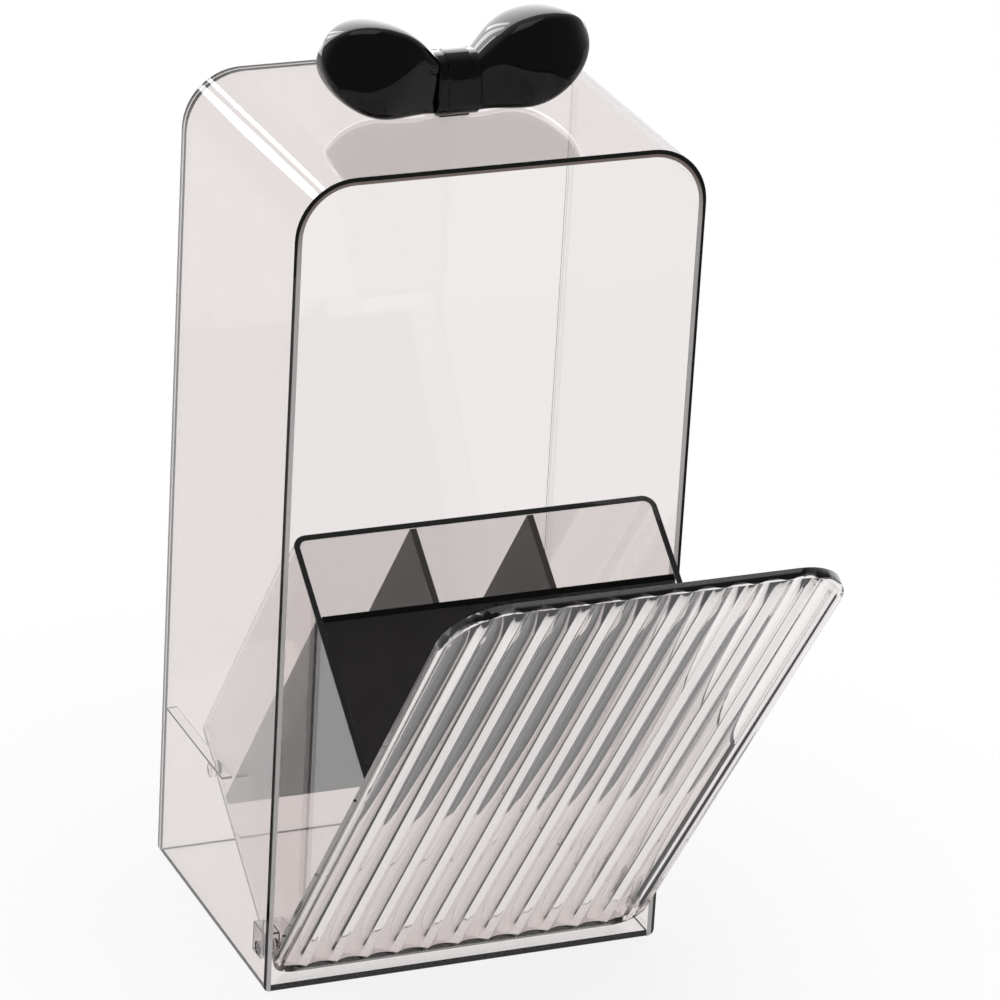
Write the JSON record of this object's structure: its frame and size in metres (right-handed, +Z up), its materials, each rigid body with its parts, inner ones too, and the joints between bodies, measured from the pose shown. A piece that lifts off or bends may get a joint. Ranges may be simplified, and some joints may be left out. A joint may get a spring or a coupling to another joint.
{
  "type": "brush holder with tilt-out bin",
  "caption": "Clear smoke cabinet for make-up brushes: a fluted front tilts out with a divided tub behind it, under an arched shell with a black bow on top.",
  "frame": {"origin": "middle of the cabinet's underside, on the table", "axes": "+X to the right as the fluted front is looked at, +Y from the front to the back panel, +Z up; rest pose is the bin tilted fully open, as in the picture"},
  "size_m": [0.11, 0.1881, 0.2497],
  "materials": {
    "clear_smoke": "clear moulded plastic with a very light smoke tint, polished, its cut edges dark",
    "divider_smoke": "dark smoke plastic sheet, polished",
    "bow_black": "high-gloss black"
  },
  "bodies": {
    "cabinet": {"arch_shell": "clear_smoke", "back_panel": "clear_smoke", "base_plate": "clear_smoke", "stop_ledge_left": "clear_smoke", "stop_ledge_right": "clear_smoke", "hinge_block_left": "clear_smoke", "hinge_block_right": "clear_smoke", "bow_knot": "bow_black", "bow_lobe_left": "bow_black", "bow_lobe_right": "bow_black"},
    "bin": {"front_panel": "clear_smoke", "bin_tub": "clear_smoke", "cross_divider": "divider_smoke", "rear_divider_left": "divider_smoke", "rear_divider_right": "divider_smoke", "hinge_pin_left": "clear_smoke", "hinge_pin_right": "clear_smoke", "stop_lug_left": "clear_smoke", "stop_lug_right": "clear_smoke"}
  },
  "joints": [
    {"name": "bin_tilt", "type": "hinge", "parent": "cabinet", "child": "bin", "pos_m": [0, -0.0359, 0.0102], "axis": [1, 0, 0], "range_deg": [-36, 0]}
  ]
}
